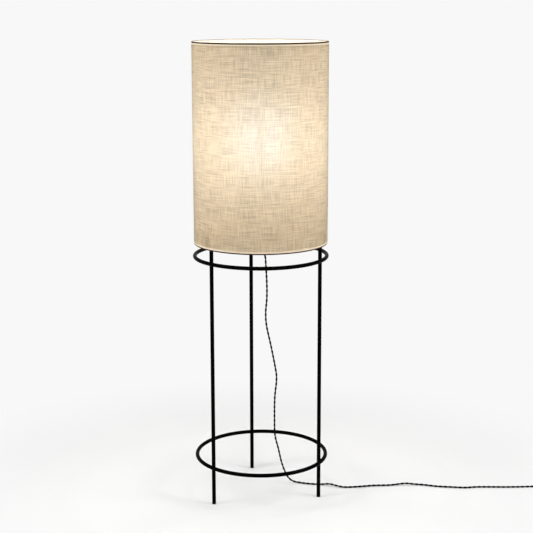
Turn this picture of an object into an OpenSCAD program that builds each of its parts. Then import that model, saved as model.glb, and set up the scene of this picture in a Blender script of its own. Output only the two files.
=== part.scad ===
// Column floor lamp: a tall linen drum shade on a stand of black round bar with two rings.
// Millimetres, +Z up, origin on the floor in the middle of the stand, front towards -Y.

/* [Stand] */
// Diameter of the round bar that legs and rings are made of
rod_d = 13; // [10:0.5:14]
// Diameter of both rings, measured at the middle of the bar
ring_d = 445; // [400:1:480]
// Height of the lower ring above the floor
lower_ring_z = 135; // [80:1:300]
// Height of the upper ring above the floor
upper_ring_z = 837; // [700:1:850]
// Height of the leg tops, which reach into the shade
leg_top_z = 934; // [920:1:960]
// Turn of the right leg from +X towards the front
leg_turn = 20.5; // [0:0.5:60]
// Radius of the weld bead where a ring crosses a leg
weld_r = 4.6; // [3:0.1:5]
// Thickness of that bead between leg and ring
weld_t = 2.8; // [2.6:0.1:4]
// Height of the cap under each leg
foot_h = 4; // [3:0.5:8]
// Diameter of the spigot that holds the cap in the leg
spigot_d = 5; // [3:0.5:7]
// Length of that spigot
spigot_h = 8; // [5:1:20]

/* [Lamp carrier] */
// Depth of the carrier's top face below the leg tops
carrier_drop = 20; // [18:1:24]
// Thickness of the arms and the hub plate
carrier_t = 5; // [4:0.5:8]
// Width of an arm
arm_w = 14; // [10:1:20]
// Diameter of the hub plate
hub_d = 64; // [40:1:90]
// Outer diameter of the stem
stem_d = 14; // [13:0.5:18]
// Length of the stem from hub plate to lamp holder
stem_h = 188; // [120:1:240]
// Diameter of the nipple thread
nipple_d = 10; // [9.5:0.1:10.5]
// Wall of a nipple
nipple_wall = 0.9; // [0.6:0.1:1.2]
// Length of nipple inside the stem's end
nipple_grip = 15; // [8:1:30]
// Width of a nut across its flats
nut_w = 14; // [13:0.5:17]
// Thickness of a nut
nut_t = 4; // [2.5:0.5:6]
// Thickness of a lock washer
washer_t = 1; // [0.8:0.1:2]
// Outer diameter of the cord grip
grip_d = 16; // [14:0.5:20]
// Height of the cord grip
grip_h = 18; // [16:1:24]
// Diameter of the grip's clamping screw
grip_screw_d = 4; // [3:0.5:4]

/* [Lamp holder] */
// Outer diameter of the lamp holder
holder_d = 40; // [38:1:46]
// Wall of its cap
holder_wall = 2; // [1.5:0.1:2.5]
// Height of its cap
holder_cap_h = 34; // [32:1:40]
// Height of its shell above the cap
holder_shell_h = 36; // [32:1:40]
// Height of the shell's skirt inside the cap
holder_skirt_h = 6; // [4:0.5:7]
// Diameter of the insulating core
core_d = 31; // [30:0.5:32]
// Height of the insulating core
core_h = 14; // [12:1:16]
// Distance of each terminal from the middle
terminal_x = 9; // [8:0.5:10]
// Width of a terminal block
terminal_w = 6; // [5:0.5:7]
// Height of a terminal block
terminal_h = 8; // [6:0.5:9]

/* [Bulb] */
// Diameter of the glass globe
bulb_d = 60; // [55:1:95]
// Length from the tip contact to the top of the glass
bulb_len = 107; // [100:1:140]
// Thickness of the glass
glass_t = 1; // [0.8:0.1:1.5]
// Outer diameter of the screw cap
screw_cap_d = 26.4; // [26.0:0.1:26.4]
// Length of the screw cap
screw_cap_h = 25; // [23:1:27]
// Pitch of the screw thread
thread_pitch = 3.6; // [3:0.1:4]
// Height of a thread ridge
thread_h = 0.5; // [0.3:0.1:0.6]
// Number of light-emitting filaments
filament_count = 4; // [2:1:8]
// Length of a filament
filament_h = 30; // [20:1:36]

/* [Shade] */
// Height of the shade
shade_h = 668; // [500:1:700]
// Depth to which the legs reach into the shade
shade_overlap = 53; // [45:1:70]
// Thickness of the linen
linen_t = 0.8; // [0.5:0.1:1.5]
// Thickness of the stiff liner behind it
liner_t = 0.7; // [0.5:0.1:1.5]
// Diameter of the wire in the top and bottom rings
wire_d = 4.5; // [3:0.5:5]
// Height of the hem tape
hem_h = 5; // [3:0.5:12]
// Thickness of the hem tape
hem_t = 0.5; // [0.3:0.1:1]
// Width of the linen's overlap seam
seam_w = 14; // [8:1:25]
// Wall of the cup that sits on a leg top
cup_wall = 2.1; // [1.5:0.1:3]
// Depth of that cup
cup_depth = 14; // [8:1:15]
// Thickness of the cup's lid and of its strap
strap_t = 2; // [1.5:0.1:4]
// Width of the strap between cup and bottom ring
strap_w = 12; // [8:1:16]

/* [Cord] */
// Diameter of the twisted cord
cord_d = 6.4; // [6:0.1:6.8]
// Loops in the part that is put away
coil_turns = 4.5; // [4.5, 5.5]
// Radius of the widest loop
coil_r = 44; // [44:1:50]
// Thickness of the tie
tie_t = 0.8; // [0.5:0.1:1]
// Width of the tie
tie_w = 10; // [6:1:14]

/* [Foot switch] */
// Diameter of the foot switch
switch_d = 62; // [58:1:70]
// Height of its cover
switch_h = 20; // [19:1:24]
// Wall of its cover
switch_wall = 2; // [1.5:0.1:2.5]
// Thickness of its base
switch_base_t = 3; // [2:0.5:4]
// Diameter of the button
button_d = 34; // [26:1:36]
// Height of the button above the cover
button_rise = 4; // [3.5:0.5:6]
// Travel of the button
button_travel = 3; // [2:0.5:3]
// Length of a cord entry
entry_len = 9; // [8:1:12]

/* [Plug] */
// Length of the plug's body
plug_len = 38; // [30:1:45]
// Width of the plug's body
plug_w = 35.3; // [30:0.1:38]
// Height of the plug's body
plug_h = 13.7; // [13:0.1:15]
// Diameter of a pin
pin_d = 4; // [4:0.1:4.8]
// Length of a pin outside the body
pin_len = 19; // [17:0.5:20]
// Distance between the pins
pin_gap = 19; // [17:0.5:20]
// Length of the tapered sleeve that relieves the cord
sleeve_len = 30; // [20:1:40]

/* [Hidden] */

// Colours
black_paint = "#161514";
black_plastic = "#1c1b1a";
zinc = "#b9bbbe";
brass = "#c9a85c";
linen = "#d3bd98";
white_film = "#f3efe6";
cream_tape = "#e6d3ae";

// Clearances: of a fit that may touch, of a fit that turns or slides, and of two surfaces that
// rest on each other
touch = 0.05;
slide = 0.2;
rest_gap = 0.3;
// How far a welded piece laps into its neighbour
weld_lap = 0.2;
cut = 1;
fine = 180;
mid = 64;

// Stand
rod_r = rod_d / 2;
ring_r = ring_d / 2;
leg_r = ring_r - rod_d;
angle_right = -leg_turn;
angle_left = -leg_turn - 120;
angle_rear = -leg_turn + 120;
leg_angles = [angle_right, angle_left, angle_rear];
edge = 1;

// Lamp carrier, from its top face down to the cord's way out
hub_top_z = leg_top_z - carrier_drop;
hub_z = hub_top_z - carrier_t;
nut_z = hub_z - washer_t - nut_t;
grip_z = nut_z - grip_h;
nipple_end_z = grip_z + grip_h / 2;
nipple_bore = nipple_d - 2 * nipple_wall;
cord_bore = cord_d + slide;
arm_bite = 2;

// Lamp holder, from the stem up to its rim
holder_z = hub_top_z + stem_h;
holder_r = holder_d / 2;
shell_z = holder_z + holder_cap_h;
socket_rim_z = shell_z + holder_shell_h;
socket_floor_z = shell_z + 10;
core_z = socket_floor_z - core_h;
socket_r = screw_cap_d / 2 + slide;
socket_root_r = socket_r + thread_h + slide;
contact_t = 0.5;
contact_w = 4;
tongue_t = 1;
rivet_d = 3;
terminal_roof = 1;
terminal_screw_d = 2.6;
screw_head_h = 1;
lead_d = 2.4;
lead_spread = 1.6;
lead_straight = 3;
holder_nut_z = holder_z + holder_wall;
leads_z = holder_nut_z + nut_t + 2;

// Bulb, from its tip contact up to the top of the glass
tip_z = socket_floor_z + cut;
bulb_top_z = tip_z + bulb_len;
globe_r = bulb_d / 2;
globe_z = bulb_top_z - globe_r;
tip_h = 1.5;
insulator_h = 5;
screw_cap_z = tip_z + tip_h + insulator_h - 0.5;
screw_cap_top_z = screw_cap_z + screw_cap_h;
screw_cap_t = 0.3;
neck_r = screw_cap_d / 2 - thread_h - screw_cap_t - slide;
mount_z = screw_cap_z + 4;
stalk_foot_r = 6;
stalk_r = 2;
disc_t = 1;
filament_d = 1.8;
filament_circle_r = 9;
filament_top_z = globe_z + filament_h / 2;

// Shade, from the leg out to the linen and from its bottom edge up
cup_r = rod_r + rest_gap + cup_wall;
strap_r = leg_r + cup_r - weld_lap;
wire_r = wire_d / 2;
wire_ring_r = strap_r + strap_t - weld_lap + wire_r;
shade_r = wire_ring_r + wire_r;
shade_z = leg_top_z - shade_overlap;
shade_top_z = shade_z + shade_h;
cloth_z = shade_z + wire_d;
cloth_h = shade_h - 2 * wire_d;
seam_angle = 90;

// Foot switch and plug, which lie on the floor beyond the right leg
switch_x = 1020;
switch_r = switch_d / 2;
entry_z = 8;
entry_d = cord_d + 5;
entry_depth = 6;
button_r = button_d / 2;
button_flange = 2;
switch_mouth_x = switch_x + switch_r + entry_len - 2;
coil_x = 1108;
plug_mouth_x = 1076;
plug_y = 2 * coil_r;
plug_z = plug_h / 2;
plug_back_x = plug_mouth_x - sleeve_len;
plug_front_x = plug_back_x - plug_len;
pin_root_d = 3.2;
pin_root_len = 8;

// Points that the cord hangs and lies on, from the cord grip to the foot switch
cord_route = [[0, 0, 886], [0, 0, 866], [14, 0, 834], [17, 1, 800], [20, 6, 739], [20, 9, 686],
    [16, 12, 634], [19, 15, 586], [34, 19, 514], [50, 24, 428], [53, 27, 389], [47, 30, 324],
    [46, 35, 244], [48, 38, 184], [60, 41, 132], [71, 45, 82], [83, 48, 46], [95, 50, 23],
    [111, 52, 9], [132, 51, 4], [170, 38, 3.5], [208, 33, 4], [240, 24, 8], [266, 12, 6],
    [292, 5, 3.5], [335, 8, 3.5], [395, 19, 3.5], [450, 22, 3.5], [482, 28, 5], [509, 27, 8],
    [538, 28, 5], [572, 24, 3.5], [615, 10, 3.5], [665, 2, 3.5], [715, -4, 3.5], [762, 2, 3.5],
    [860, 0, 3.5], [945, 3, 3.5], [975, 0, 7.6], [988, 0, 8]];
// Rings between two points of the route
cord_steps = 2;
cord_sides = 8;

// Coil: the loops spiral in on the floor, climb a layer and spiral out again
tie_room = 0.2;
coil_z = cord_d / 2 + tie_t + tie_room;
coil_pitch = cord_d + 0.7;
coil_layer = cord_d + 0.6;
coil_rings = 24;
coil_sides = 6;
coil_half = coil_turns / 2;
coil_count = coil_turns * coil_rings;
coil_y = coil_r;

// Vector and path functions
function unit(v) = v / norm(v);
function along(p, i) = unit(p[min(i + 1, len(p) - 1)] - p[max(i - 1, 0)]);
function square_to(n, t) = unit(n - (n * t) * t);
function sides_along(p, first) =
    [for (i = 0, n = first; i < len(p); i = i + 1, n = square_to(n, along(p, min(i, len(p) - 1)))) n];
function between(a, b, c, d, t) =
    ((2 * b) + (c - a) * t + (2 * a - 5 * b + 4 * c - d) * t * t
    + (3 * b - a - 3 * c + d) * t * t * t) / 2;
function before(p, i) = i > 0 ? p[i - 1] : 2 * p[0] - p[1];
function after(p, i) = i < len(p) ? p[i] : 2 * p[len(p) - 1] - p[len(p) - 2];
function smooth_path(p, steps) = concat(
    [for (i = [0:len(p) - 2]) for (s = [0:steps - 1])
        between(before(p, i), p[i], p[i + 1], after(p, i + 2), s / steps)], [p[len(p) - 1]]);
function climb(s) = let (t = min(max(s, 0), 1)) t * t * (3 - 2 * t);

// A round tube along a path, with flat ends
module tube(p, d, sides, first) {
    n = sides_along(p, first);
    count = len(p);
    points = [for (i = [0:count - 1]) for (k = [0:sides - 1])
        p[i] + d / 2 * (cos(360 * k / sides) * n[i] + sin(360 * k / sides) * cross(along(p, i), n[i]))];
    walls = [for (i = [0:count - 2]) for (k = [0:sides - 1]) let (a = i * sides + k,
        b = i * sides + (k + 1) % sides) each [[a, a + sides, b], [b, a + sides, b + sides]]];
    start = [for (k = [1:sides - 2]) [0, k, k + 1]];
    end = [for (k = [1:sides - 2]) let (o = (count - 1) * sides) [o, o + k + 1, o + k]];
    polyhedron(points, concat(walls, start, end));
}

// Coil geometry: a place for each share of a turn
function coil_in(t) = coil_half - abs(t - coil_half);
function coil_place(t) = let (r = coil_r - coil_pitch * coil_in(t), a = 360 * t - 90)
    [coil_x + r * cos(a), coil_y + r * sin(a), coil_z + coil_layer * climb((t - coil_half) * 2 + 0.5)];
coil_loops = [for (i = [0:coil_count]) coil_place(i / coil_rings)];
coil_lead_in = [[switch_mouth_x - entry_depth, 0, entry_z], [switch_mouth_x + 2, 0, entry_z],
    [switch_mouth_x + 12, 0, entry_z - 0.6], [switch_mouth_x + 24, 0, entry_z - 2],
    [coil_x - 14, 0, coil_z + 0.4]];
coil_lead_out = [[coil_x - 7, plug_y, coil_z + coil_layer - 1.2],
    [coil_x - 14, plug_y, (coil_z + coil_layer + plug_z) / 2], [coil_x - 21, plug_y, plug_z + 0.5],
    [plug_mouth_x + cord_d / 2, plug_y, plug_z], [plug_mouth_x - entry_depth, plug_y, plug_z]];
coil_path = concat(coil_lead_in, coil_loops, coil_lead_out);
// Least gap between two places of the coil that are more than a third of a turn apart
coil_apart = coil_rings / 3;
coil_gap = min([for (i = [0:len(coil_path) - 1]) for (j = [i + coil_apart:1:len(coil_path) - 1])
    norm(coil_path[i] - coil_path[j])]) - cord_d;
echo(coil_least_gap = coil_gap);

// A flat rectangle with round corners, from one corner to the other
module round_rect(low, high, r) {
    translate([low.x + r, low.y]) square([high.x - low.x - 2 * r, high.y - low.y]);
    translate([low.x, low.y + r]) square([high.x - low.x, high.y - low.y - 2 * r]);
    for (x = [low.x + r, high.x - r]) for (y = [low.y + r, high.y - r])
        translate([x, y]) circle(r = r, $fn = 32);
}

// A pipe, standing on the given height
module pipe(outer_d, bore_d, h, z) {
    translate([0, 0, z]) difference() {
        cylinder(d = outer_d, h = h, $fn = mid);
        translate([0, 0, -cut]) cylinder(d = bore_d, h = h + 2 * cut, $fn = mid);
    }
}

// Stand

module leg(angle) {
    rotate(angle) translate([leg_r, 0, 0]) difference() {
        rotate_extrude($fn = mid)
            polygon([[0, foot_h], [rod_r, foot_h], [rod_r, leg_top_z - edge], [rod_r - edge, leg_top_z],
                [0, leg_top_z]]);
        translate([0, 0, foot_h - cut])
            cylinder(d = spigot_d + 2 * touch, h = spigot_h + cut + slide, $fn = mid);
    }
}

module foot(angle) {
    round_r = 1.5;
    rotate(angle) translate([leg_r, 0, 0]) {
        rotate_extrude($fn = mid) {
            square([rod_r - round_r, foot_h]);
            translate([0, round_r]) square([rod_r, foot_h - round_r]);
            translate([rod_r - round_r, round_r]) circle(r = round_r, $fn = 32);
        }
        translate([0, 0, foot_h - cut]) cylinder(d = spigot_d, h = spigot_h + cut, $fn = mid);
    }
}

module bar_ring(z) {
    translate([0, 0, z]) rotate_extrude($fn = fine) translate([ring_r, 0]) circle(d = rod_d, $fn = mid);
}

module leg_left() color(black_paint) leg(angle_left);
module leg_right() color(black_paint) leg(angle_right);
module leg_rear() color(black_paint) leg(angle_rear);
module foot_left() color(black_plastic) foot(angle_left);
module foot_right() color(black_plastic) foot(angle_right);
module foot_rear() color(black_plastic) foot(angle_rear);
module upper_ring() color(black_paint) bar_ring(upper_ring_z);
module lower_ring() color(black_paint) bar_ring(lower_ring_z);

// A bead fills the wedge between each leg and each ring
module ring_welds() color(black_paint)
    for (angle = leg_angles) for (z = [lower_ring_z, upper_ring_z])
        rotate(angle) translate([leg_r + rod_r - weld_t / 2, 0, z]) rotate([0, 90, 0])
            cylinder(r = weld_r, h = weld_t, $fn = 32);

// Lamp carrier

module arm(angle) {
    h = carrier_t + 2 * cut;
    difference() {
        rotate(angle) translate([hub_d / 2 - arm_bite, -arm_w / 2, hub_z])
            cube([leg_r - rod_r + 2 * arm_bite - hub_d / 2, arm_w, carrier_t]);
        translate([0, 0, hub_z - cut]) cylinder(d = hub_d, h = h, $fn = 96);
        rotate(angle) translate([leg_r, 0, hub_z - cut]) cylinder(d = rod_d, h = h, $fn = mid);
    }
}

module arm_left() color(black_paint) arm(angle_left);
module arm_right() color(black_paint) arm(angle_right);
module arm_rear() color(black_paint) arm(angle_rear);

module hub_plate() color(black_paint) translate([0, 0, hub_z]) difference() {
    cylinder(d = hub_d, h = carrier_t, $fn = 96);
    translate([0, 0, -cut]) cylinder(d = nipple_d + 2 * touch, h = carrier_t + 2 * cut, $fn = mid);
}

module stem() color(black_paint) pipe(stem_d, nipple_d + 2 * touch, stem_h, hub_top_z);

module lower_nipple() color(zinc)
    pipe(nipple_d, nipple_bore, hub_top_z + nipple_grip - nipple_end_z, nipple_end_z);

module upper_nipple() color(zinc)
    pipe(nipple_d, nipple_bore, nipple_grip + holder_wall + nut_t + cut, holder_z - nipple_grip);

module lock_washer() color(zinc)
    pipe(nut_w, nipple_d + 2 * touch, washer_t, hub_z - washer_t);

module nut(z) {
    flats = 6;
    translate([0, 0, z]) difference() {
        cylinder(d = nut_w / cos(180 / flats), h = nut_t, $fn = flats);
        translate([0, 0, -cut]) cylinder(d = nipple_d + 2 * touch, h = nut_t + 2 * cut, $fn = mid);
    }
}

module nipple_nuts() color(zinc) {
    nut(nut_z);
    nut(holder_nut_z);
}

// The grip screws onto the lower nipple, and its side screw pinches the cord
module cord_grip() color(black_plastic) difference() {
    translate([0, 0, grip_z]) rotate_extrude($fn = mid)
        polygon([[0, 0], [grip_d / 2 - edge, 0], [grip_d / 2, edge], [grip_d / 2, grip_h - edge],
            [grip_d / 2 - edge, grip_h], [0, grip_h]]);
    translate([0, 0, grip_z - cut]) cylinder(d = cord_bore, h = grip_h + 2 * cut, $fn = mid);
    translate([0, 0, nipple_end_z - touch]) cylinder(d = nipple_d + 2 * touch, h = grip_h, $fn = mid);
    translate([0, 0, grip_z + grip_h / 4]) rotate([0, 90, 0])
        cylinder(d = grip_screw_d + 2 * touch, h = grip_d, $fn = 32);
}

module grip_screw() color(black_plastic) translate([cord_bore / 2, 0, grip_z + grip_h / 4])
    rotate([0, 90, 0]) cylinder(d = grip_screw_d, h = (grip_d - cord_bore) / 2, $fn = 32);

module inner_cord() color(black_plastic) translate([0, 0, grip_z])
    cylinder(d = cord_d, h = leads_z - grip_z, $fn = mid);

// Lamp holder

// Outline of a thread as closed ridges, from the bottom up
function ridges(root, crest, z, h) = [for (k = [0:floor(h / thread_pitch) - 1])
    each [[root, z + thread_pitch * (k + 0.1)], [crest, z + thread_pitch * (k + 0.4)],
        [crest, z + thread_pitch * (k + 0.6)], [root, z + thread_pitch * (k + 0.9)]]];

module holder_cap() color(black_plastic) difference() {
    translate([0, 0, holder_z]) rotate_extrude($fn = fine)
        polygon([[0, 0], [holder_r * 0.7, 0], [holder_r - cut, holder_r * 0.25], [holder_r, holder_r * 0.4],
            [holder_r, holder_cap_h], [holder_r - holder_wall, holder_cap_h],
            [holder_r - holder_wall, holder_r * 0.45], [holder_r * 0.68, holder_wall], [0, holder_wall]]);
    translate([0, 0, holder_z - cut])
        cylinder(d = nipple_d + 2 * touch, h = holder_wall + 2 * cut, $fn = mid);
}

// The shell screws into the cap by its skirt, and holds the core from above
module holder_shell() color(black_plastic) {
    skirt_r = holder_r - holder_wall - touch;
    core_seat_r = core_d / 2 + touch;
    rotate_extrude($fn = fine) polygon(concat(
        [[core_seat_r, shell_z - holder_skirt_h], [skirt_r, shell_z - holder_skirt_h], [skirt_r, shell_z],
            [holder_r, shell_z], [holder_r - edge, socket_rim_z - edge],
            [holder_r - 2 * edge, socket_rim_z], [socket_root_r, socket_rim_z]],
        [for (i = [1:len(socket_ridges)]) socket_ridges[len(socket_ridges) - i]],
        [[socket_r, socket_floor_z], [core_seat_r, socket_floor_z]]));
}
socket_ridges = ridges(socket_root_r, socket_r, socket_floor_z + 6, socket_rim_z - socket_floor_z - 7);

module holder_core() color("#ece7dc") difference() {
    translate([0, 0, core_z]) cylinder(d = core_d, h = core_h, $fn = mid);
    for (side = [-1, 1]) translate([side * terminal_x, 0, core_z - cut])
        cylinder(d = rivet_d + 2 * touch, h = core_h + 2 * cut, $fn = 32);
}

// The bulb's cap presses on an upright tongue, and its tip on a flat one
module side_contact() color(brass) {
    tongue_x = socket_r - slide - tongue_t;
    translate([tongue_x, -contact_w / 2, socket_floor_z])
        cube([tongue_t, contact_w, screw_cap_z - rest_gap - socket_floor_z]);
    translate([terminal_x - contact_w / 2, -contact_w / 2, socket_floor_z])
        cube([tongue_x + tongue_t - terminal_x + contact_w / 2, contact_w, contact_t]);
}

module centre_contact() color(brass)
    translate([-terminal_x - contact_w / 2, -contact_w / 2, socket_floor_z])
        cube([terminal_x + contact_w, contact_w, contact_t]);

// Each block holds a conductor, and its rivet goes up through the core to a contact
module terminals() color(brass) for (side = [-1, 1]) translate([side * terminal_x, 0, core_z]) {
    difference() {
        translate([-terminal_w / 2, -terminal_w / 2, -terminal_h])
            cube([terminal_w, terminal_w, terminal_h]);
        translate([0, 0, -terminal_h - cut])
            cylinder(d = lead_d + slide, h = terminal_h - terminal_roof + cut, $fn = 32);
        translate([0, 0, -terminal_h / 2]) rotate([90, 0, 0])
            cylinder(d = terminal_screw_d + 2 * touch, h = terminal_w, $fn = 32);
    }
    translate([0, 0, -terminal_roof]) cylinder(d = rivet_d, h = terminal_roof + core_h, $fn = 32);
}

module terminal_screws() color(zinc) for (side = [-1, 1])
    translate([side * terminal_x, -lead_d / 2 - touch, core_z - terminal_h / 2])
        rotate([90, 0, 0]) {
            shank = terminal_w / 2 - lead_d / 2;
            cylinder(d = terminal_screw_d, h = shank, $fn = 32);
            translate([0, 0, shank])
                cylinder(d = terminal_screw_d + 1.4, h = screw_head_h, $fn = 32);
        }

// The two conductors leave the cord side by side and spread to the terminals
module holder_leads() color("#8a6a4a") for (side = [-1, 1]) {
    start_x = side * lead_spread;
    end_x = side * terminal_x;
    foot_z = core_z - terminal_h;
    tube(smooth_path([[start_x, 0, leads_z], [start_x, 0, leads_z + lead_straight / 2],
        [start_x, 0, leads_z + lead_straight], [(start_x + end_x) / 2, 0, (leads_z + foot_z) / 2],
        [end_x, 0, foot_z - lead_straight], [end_x, 0, foot_z], [end_x, 0, foot_z + lead_straight]], 3),
        lead_d, 8, [0, 1, 0]);
}

// Bulb

// Where a straight neck that starts at the cap's rim touches the globe
function touch_angle(r, z, ball_r, ball_z) =
    acos(ball_r / norm([r, z - ball_z])) + atan2(z - ball_z, r);
function pear(neck, r) = let (a = touch_angle(neck, screw_cap_top_z, r, globe_z), steps = 24) concat(
    [[neck, screw_cap_top_z]],
    [for (k = [0:steps - 1]) let (b = a + (90 - a) * k / steps) [r * cos(b), globe_z + r * sin(b)]],
    [[0, globe_z + r]]);

module bulb_glass() color("#fffaf0") {
    inner = pear(neck_r - glass_t, globe_r - glass_t);
    neck_z = screw_cap_top_z - 6;
    rotate_extrude($fn = fine) polygon(concat([[neck_r, neck_z]], pear(neck_r, globe_r),
        [for (i = [1:len(inner)]) inner[len(inner) - i]], [[neck_r - glass_t, neck_z]]));
}

module bulb_cap() color(zinc) {
    crest = screw_cap_d / 2;
    root = crest - thread_h;
    inner = root - screw_cap_t;
    rotate_extrude($fn = fine) polygon(concat(
        [[inner - 2, screw_cap_z], [root, screw_cap_z]],
        ridges(root, crest, screw_cap_z, screw_cap_h - 2),
        [[root, screw_cap_top_z], [inner, screw_cap_top_z], [inner, screw_cap_z + cut],
            [inner - 2, screw_cap_z + cut]]));
}

module bulb_insulator() color("#2a2522") {
    top_r = screw_cap_d / 2 - thread_h - screw_cap_t - 2;
    rotate_extrude($fn = mid) polygon([[0, tip_z + tip_h], [4.5, tip_z + tip_h],
        [top_r, screw_cap_z], [top_r, mount_z], [0, mount_z]]);
}

module bulb_contact() color(brass) rotate_extrude($fn = mid)
    polygon([[0, tip_z], [3.4, tip_z], [4.4, tip_z + tip_h], [0, tip_z + tip_h]]);

// A glass stalk that stands on the insulator and carries the filaments
module filament_mount() color("#dfe6e8") {
    rotate_extrude($fn = mid) polygon([[0, mount_z], [neck_r - glass_t - 2, mount_z],
        [stalk_foot_r, screw_cap_top_z - 4], [stalk_r, screw_cap_top_z + 4],
        [stalk_r, filament_top_z], [0, filament_top_z]]);
    for (z = [filament_top_z - filament_h, filament_top_z - disc_t]) translate([0, 0, z])
        cylinder(r = filament_circle_r + disc_t, h = disc_t, $fn = mid);
}

module led_filaments() color("#ffe2a0") for (k = [1:filament_count])
    rotate(360 * k / filament_count)
        translate([filament_circle_r, 0, filament_top_z - filament_h + disc_t])
            cylinder(d = filament_d, h = filament_h - 2 * disc_t, $fn = 24);

// Shade

module drum(outer_r, wall, z, h) {
    pipe_r = outer_r - wall;
    translate([0, 0, z]) rotate_extrude($fn = fine) translate([pipe_r, 0]) square([wall, h]);
}

// The linen laps over itself in one upright seam at the back
module linen_cover() color(linen) {
    drum(shade_r, linen_t, cloth_z, cloth_h);
    rotate(seam_angle) translate([0, 0, cloth_z + hem_h + touch])
        rotate([0, 0, -seam_turn / 2]) rotate_extrude(angle = seam_turn, $fn = fine)
            translate([shade_r - touch, 0]) square([linen_t / 2 + touch, cloth_h - 2 * (hem_h + touch)]);
}
seam_turn = seam_w / shade_r * 180 / PI;

module shade_liner() color(white_film) drum(shade_r - linen_t, liner_t, cloth_z, cloth_h);

module wire_ring(z) {
    translate([0, 0, z]) rotate_extrude($fn = fine)
        translate([wire_ring_r, 0]) circle(d = wire_d, $fn = 32);
}
module shade_top_ring() color(black_paint) wire_ring(shade_top_z - wire_r);
module shade_bottom_ring() color(black_paint) wire_ring(shade_z + wire_r);

module top_hem() color(cream_tape) drum(shade_r + hem_t, hem_t, shade_top_z - wire_d - hem_h, hem_h);
module bottom_hem() color(cream_tape) drum(shade_r + hem_t, hem_t, cloth_z, hem_h);

// Each cup stands on a leg top, and its strap goes down to the bottom ring
module seat_brackets() color(black_paint) for (angle = leg_angles) rotate(angle) {
    lid_z = leg_top_z + rest_gap;
    strap_z = shade_z + wire_r - cut;
    difference() {
        union() {
            translate([leg_r, 0, lid_z - cup_depth])
                cylinder(r = cup_r, h = cup_depth + strap_t, $fn = mid);
            translate([strap_r, -strap_w / 2, strap_z])
                cube([strap_t, strap_w, lid_z + strap_t - strap_z]);
        }
        translate([leg_r, 0, lid_z - cup_depth - cut])
            cylinder(r = rod_r + rest_gap, h = cup_depth + cut, $fn = mid);
    }
}

// Cord

module cord() color(black_plastic) tube(smooth_path(cord_route, cord_steps), cord_d, cord_sides, [0, 1, 0]);

module cord_coil() color(black_plastic) tube(coil_path, cord_d, coil_sides, [0, 0, 1]);

// A flat band round all the loops, on the side away from the lamp
module coil_tie() color("#c9c2b4") {
    low = [coil_r - coil_pitch * coil_half - cord_d / 2 - 4 * tie_room, coil_z - cord_d / 2 - tie_room];
    high = [coil_r + cord_d / 2 + tie_room, coil_z + coil_layer + cord_d / 2 + tie_room];
    corner = cord_d / 2;
    translate([coil_x, coil_y + tie_w / 2, 0]) rotate([90, 0, 0]) linear_extrude(tie_w) difference() {
        round_rect(low - [tie_t, tie_t], high + [tie_t, tie_t], corner + tie_t);
        round_rect(low, high, corner);
    }
}

// Foot switch

screw_places = [for (k = [0:2]) 60 + 120 * k];
screw_circle_r = switch_r - 7.5;
switch_screw_d = 3;
post_d = 6;

module switch_base() color(black_plastic) translate([switch_x, 0, 0]) difference() {
    cylinder(r = switch_r - switch_wall - touch, h = switch_base_t, $fn = 96);
    for (a = screw_places) rotate(a) translate([screw_circle_r, 0, -cut]) {
        cylinder(d = switch_screw_d + 2 * slide, h = switch_base_t + 2 * cut, $fn = 32);
        cylinder(d = 2 * switch_screw_d + 2 * slide, h = cut + switch_base_t / 2, $fn = 32);
    }
}

module switch_cover() color(black_plastic) translate([switch_x, 0, 0]) difference() {
    union() {
        difference() {
            union() {
                dome(switch_r, 0.5, switch_h);
                for (side = [-1, 1]) rotate([0, side * 90, 0]) translate([-side * entry_z, 0, switch_r - 5])
                    cylinder(d = entry_d, h = entry_len + 3, $fn = mid);
            }
            dome(switch_r - switch_wall, -cut, switch_h - switch_wall);
        }
        intersection() {
            dome(switch_r, 0.5, switch_h);
            for (a = screw_places) rotate(a) translate([screw_circle_r, 0, switch_base_t])
                cylinder(d = post_d, h = switch_h, $fn = 32);
        }
    }
    translate([0, 0, switch_base_t]) cylinder(r = button_r + rest_gap, h = switch_h, $fn = 96);
    for (a = screw_places) rotate(a) translate([screw_circle_r, 0, 0])
        cylinder(d = switch_screw_d + 2 * touch, h = switch_base_t + 7, $fn = 32);
    for (side = [-1, 1]) rotate([0, side * 90, 0]) translate([-side * entry_z, 0, switch_r - 6])
        cylinder(d = cord_bore, h = entry_len + 6, $fn = mid);
}

// A drum with a rounded shoulder
module dome(r, z, top) {
    shoulder = 9;
    rotate_extrude($fn = fine) polygon(concat([[0, z], [r, z]],
        [for (b = [0:10:90]) [r - shoulder + shoulder * cos(b), top - shoulder + shoulder * sin(b)]],
        [[0, top]]));
}

// The button's flange stays under the cover's edge
module switch_button() color("#2b2a29") translate([switch_x, 0, 0]) rotate_extrude($fn = 96) {
    top = switch_h + button_rise;
    flange_z = switch_h - switch_wall - rest_gap - button_flange;
    polygon([[0, flange_z], [button_r + button_flange, flange_z],
        [button_r + button_flange, flange_z + button_flange - 0.6], [button_r, flange_z + button_flange],
        [button_r, top - 2], [button_r - 1, top - 0.8], [button_r - 3, top], [0, top]]);
}

// Latching contact block under the button
module switch_core() color("#e8e4da") translate([switch_x, 0, 0]) {
    block = [24, 18, switch_h - switch_wall - rest_gap - button_flange - button_travel - switch_base_t - 1];
    translate([-block.x / 2, -block.y / 2, switch_base_t]) cube(block);
    translate([0, 0, switch_base_t]) cylinder(d = 8, h = block.z + 0.7, $fn = 32);
}

module switch_screws() color(zinc) for (a = screw_places)
    translate([switch_x, 0, 0]) rotate(a) translate([screw_circle_r, 0, 0]) {
        translate([0, 0, 0.4]) cylinder(d = 2 * switch_screw_d, h = switch_base_t / 2 - 0.4, $fn = 32);
        translate([0, 0, 0.4]) cylinder(d = switch_screw_d, h = switch_base_t + 6, $fn = 32);
    }

// Plug, lying on the floor with its pins towards the lamp

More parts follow.
